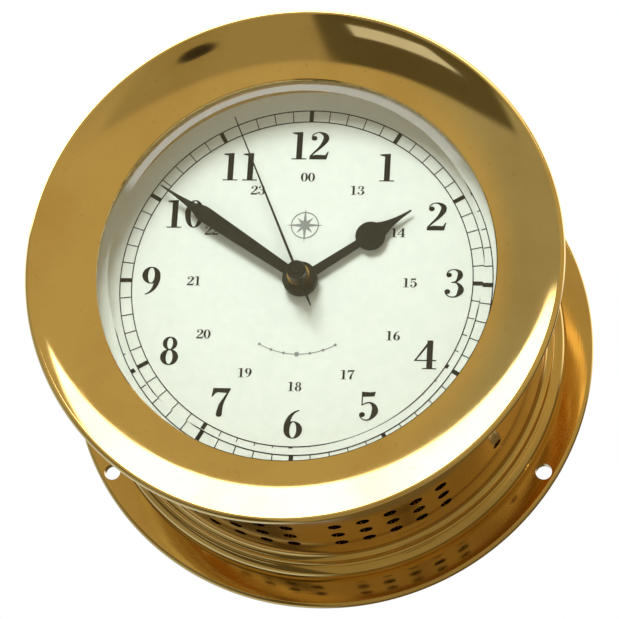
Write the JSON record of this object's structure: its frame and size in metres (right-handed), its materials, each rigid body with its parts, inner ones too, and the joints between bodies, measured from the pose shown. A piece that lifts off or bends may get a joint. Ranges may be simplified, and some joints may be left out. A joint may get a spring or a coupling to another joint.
{
  "type": "ships deck clock",
  "caption": "Round brass bulkhead clock with a dished bezel over a bevelled glass, black hands on a white dial, screw flange and sound holes below.",
  "frame": {"origin": "centre of the circle of flange holes, in the plane of the flange's rear face", "axes": "+Z towards twelve o'clock, +X to the right of someone facing the dial, -Y out of the wall, so that the dial faces -Y"},
  "size_m": [0.1396, 0.0749, 0.1396],
  "materials": {
    "case_brass": "polished, warm reflections, fine lathe lines",
    "bezel_brass": "polished on a lathe, mirror bright",
    "screw_brass": "satin, hexagon socket",
    "liner_brass": "turned, unpolished",
    "dial_ring_brass": "satin turned",
    "nut_brass": "bright, knurled",
    "wheel_brass": "rolled sheet, cut",
    "crystal_glass": "clear mineral glass with a ground bevel",
    "dial_enamel": "matt white paint",
    "dial_ink": "black printing ink",
    "ornament_ink": "thin grey printing ink",
    "hand_black": "satin black paint",
    "seal_rubber": "matt",
    "black_plastic": "moulded, fine grain",
    "knob_plastic": "moulded, knurled",
    "white_plastic": "moulded acetal",
    "red_plastic": "moulded",
    "component_black": "moulded epoxy",
    "component_blue": "moulded",
    "board_green": "solder mask on glass laminate",
    "plated_steel": "zinc or nickel plate",
    "speaker_steel": "black, pressed steel",
    "magnet_grey": "sintered ferrite",
    "copper_wire": "enamelled copper wire",
    "cone_paper": "pressed pulp",
    "cell_foil": "printed jacket, no lettering"
  },
  "bodies": {
    "case": {"case_body": "case_brass", "case_screws": "screw_brass"},
    "front": {"bezel_ring": "bezel_brass", "liner": "liner_brass", "liner_o_ring": "seal_rubber", "crystal": "crystal_glass", "crystal_gasket": "seal_rubber", "crystal_retainer": "liner_brass", "dial_ring": "dial_ring_brass", "dial": "dial_enamel", "minute_track": "dial_ink", "hour_numerals": "dial_ink", "day_numerals": "dial_ink", "dial_ornament": "ornament_ink", "carrier_plate": "black_plastic", "movement_front": "black_plastic", "movement_rear": "black_plastic", "movement_bushing": "nut_brass", "bushing_nut": "nut_brass", "stator": "plated_steel", "coil_bobbin": "white_plastic", "coil_winding": "copper_wire", "movement_board": "board_green", "crystal_can": "plated_steel", "strike_board": "board_green", "board_parts": "component_black", "board_screws": "plated_steel", "volume_pot": "component_blue", "mode_switch_body": "plated_steel", "strike_button_body": "plated_steel", "strike_button_spring": "plated_steel", "speaker_bracket": "plated_steel", "speaker_basket": "speaker_steel", "speaker_magnet": "magnet_grey", "speaker_surround": "seal_rubber", "speaker_screws": "plated_steel", "battery_holder": "black_plastic", "battery_springs": "plated_steel", "battery_contacts": "plated_steel", "batteries": "cell_foil", "back_plate": "black_plastic", "back_plate_screws": "plated_steel", "door_pins": "plated_steel"},
    "minutes": {"centre_wheel": "wheel_brass", "minute_hand": "hand_black", "hand_nut": "nut_brass"},
    "hours": {"hour_wheel": "wheel_brass", "hour_hand": "hand_black"},
    "seconds": {"seconds_wheel": "wheel_brass", "second_hand": "hand_black"},
    "third": {"third_wheel": "wheel_brass"},
    "motion": {"motion_wheel": "white_plastic", "set_knob": "knob_plastic"},
    "fifth": {"fifth_wheel": "white_plastic"},
    "rotor": {"rotor": "magnet_grey"},
    "volume": {"volume_wheel": "knob_plastic"},
    "mode": {"mode_slider": "knob_plastic"},
    "button": {"strike_button": "red_plastic"},
    "cone": {"speaker_cone": "cone_paper"},
    "door": {"battery_door": "black_plastic"}
  },
  "joints": [
    {"name": "front_slide", "type": "slide", "parent": "case", "child": "front", "axis": [0, -1, 0], "range_m": [0, 0.06]},
    {"name": "minute_turn", "type": "hinge", "parent": "front", "child": "minutes", "pos_m": [0, -0.0575, 0], "axis": [0, 1, 0], "continuous": true},
    {"name": "hour_turn", "type": "hinge", "parent": "front", "child": "hours", "pos_m": [0, -0.054, 0], "axis": [0, 1, 0], "continuous": true},
    {"name": "second_turn", "type": "hinge", "parent": "front", "child": "seconds", "pos_m": [0, -0.045, 0], "axis": [0, 1, 0], "continuous": true},
    {"name": "third_turn", "type": "hinge", "parent": "front", "child": "third", "pos_m": [-0.00677, -0.044, -0.00246], "axis": [0, 1, 0], "continuous": true},
    {"name": "motion_turn", "type": "hinge", "parent": "front", "child": "motion", "pos_m": [0, -0.045, 0.007], "axis": [0, 1, 0], "continuous": true},
    {"name": "fifth_turn", "type": "hinge", "parent": "front", "child": "fifth", "pos_m": [0.00402, -0.044, -0.00337], "axis": [0, 1, 0], "continuous": true},
    {"name": "rotor_turn", "type": "hinge", "parent": "front", "child": "rotor", "pos_m": [0.00733, -0.047, -0.00615], "axis": [0, 1, 0], "continuous": true},
    {"name": "volume_turn", "type": "hinge", "parent": "front", "child": "volume", "pos_m": [-0.03, -0.0206, -0.012], "axis": [1, 0, 0], "range_deg": [-135, 135]},
    {"name": "mode_slide", "type": "slide", "parent": "front", "child": "mode", "axis": [1, 0, 0], "range_m": [0, 0.004]},
    {"name": "strike_press", "type": "slide", "parent": "front", "child": "button", "axis": [0, -1, 0], "range_m": [0, 0.0008], "stiffness_N_per_m": 900, "springref_m": -0.0008, "deforming": ["strike_button_spring"]},
    {"name": "cone_move", "type": "slide", "parent": "front", "child": "cone", "axis": [0, 0, -1], "range_m": [-0.0003, 0.0003], "stiffness_N_per_m": 900},
    {"name": "door_open", "type": "hinge", "parent": "front", "child": "door", "pos_m": [0, -0.0119, 0.0126], "axis": [-1, 0, 0], "range_deg": [0, 100]}
  ],
  "couplings": [
    {"joint": "hour_turn", "follows": "minute_turn", "ratio": 0.083333},
    {"joint": "motion_turn", "follows": "minute_turn", "ratio": -0.33333},
    {"joint": "third_turn", "follows": "minute_turn", "ratio": -7.5},
    {"joint": "second_turn", "follows": "minute_turn", "ratio": 60},
    {"joint": "fifth_turn", "follows": "minute_turn", "ratio": -360},
    {"joint": "rotor_turn", "follows": "minute_turn", "ratio": 1800}
  ]
}
